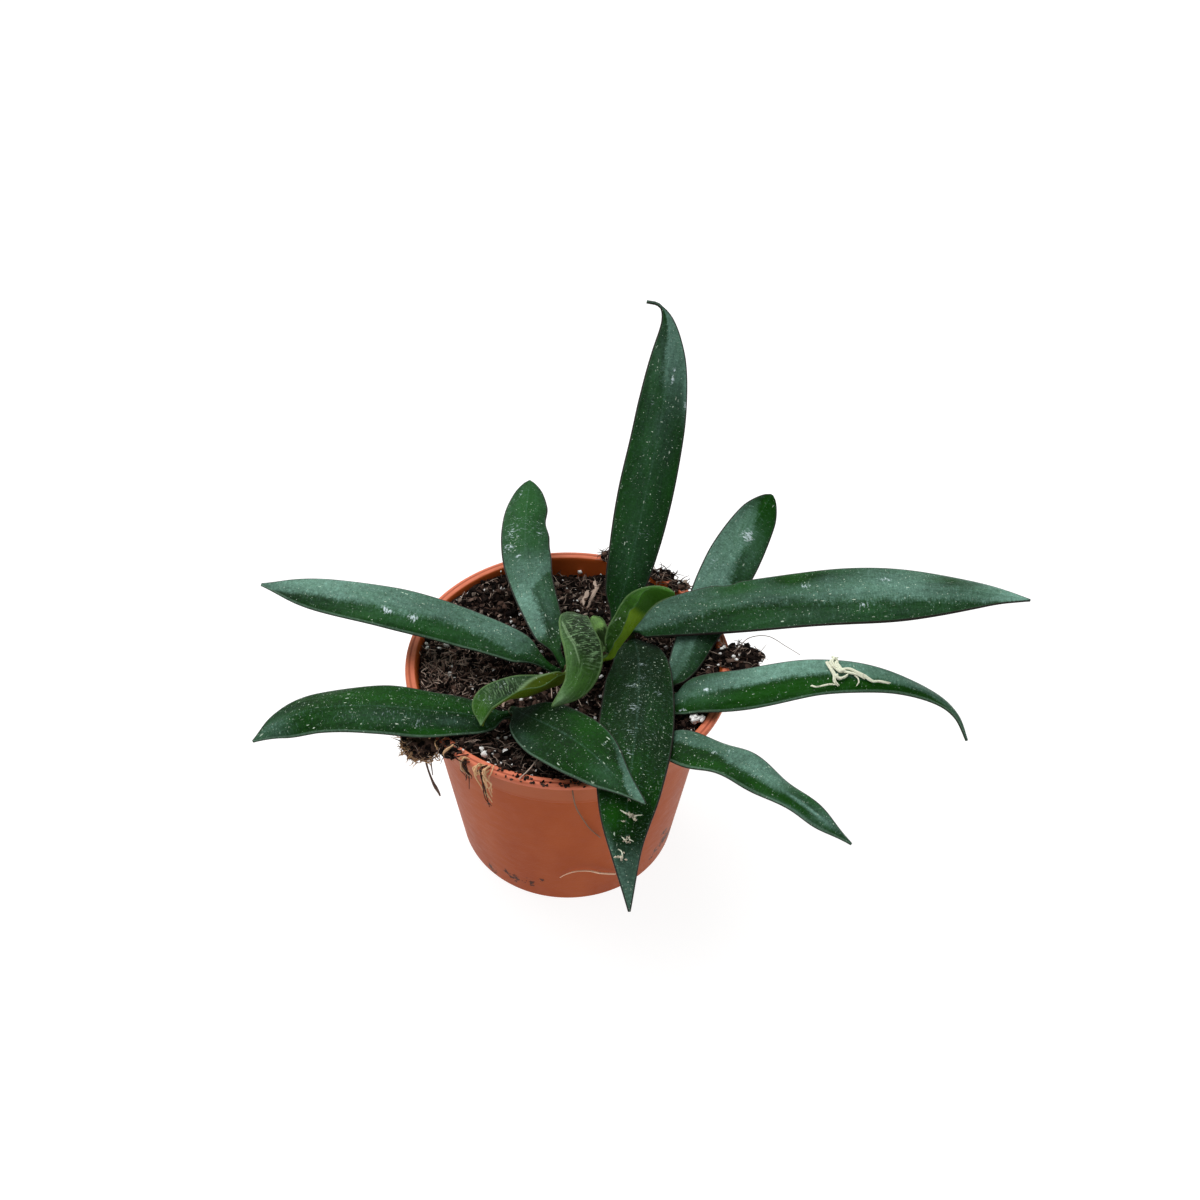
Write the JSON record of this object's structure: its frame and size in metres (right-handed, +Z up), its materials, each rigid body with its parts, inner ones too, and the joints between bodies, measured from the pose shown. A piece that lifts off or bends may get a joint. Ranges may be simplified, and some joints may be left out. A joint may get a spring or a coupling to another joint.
{
  "type": "potted minibelle hoya",
  "caption": "Rooted hoya cuttings with long narrow leathery dark green leaves in a round terracotta-coloured plastic nursery pot, with loose soil spilling over its rim.",
  "frame": {"origin": "middle of the pot's underside, on the surface that it stands on", "axes": "+Z up the pot's axis, +X to the right in the picture, along the spread of the two longest side leaves, +Y away from the viewer"},
  "size_m": [0.2831, 0.1875, 0.186],
  "materials": {
    "pot": "satin",
    "soil": "matte",
    "stem": "matte",
    "leaf": "satin",
    "young_leaf": "satin"
  },
  "bodies": {
    "root": {"pot": "pot", "soil": "soil", "stem_centre": "stem", "stem_back_right": "stem", "stem_left": "stem", "stem_right": "stem", "stem_front_left": "stem", "stem_front_right": "stem", "leaf_tall_back": "leaf", "leaf_long_right": "leaf", "leaf_back_right": "leaf", "leaf_back_left": "leaf", "leaf_long_left": "leaf", "leaf_low_left": "leaf", "leaf_short_front": "leaf", "leaf_long_front": "leaf", "leaf_curled_right": "leaf", "leaf_low_right": "leaf", "young_leaf_left": "young_leaf", "young_leaf_centre": "young_leaf", "young_leaf_right": "young_leaf", "tip_sprout": "young_leaf"}
  },
  "joints": []
}
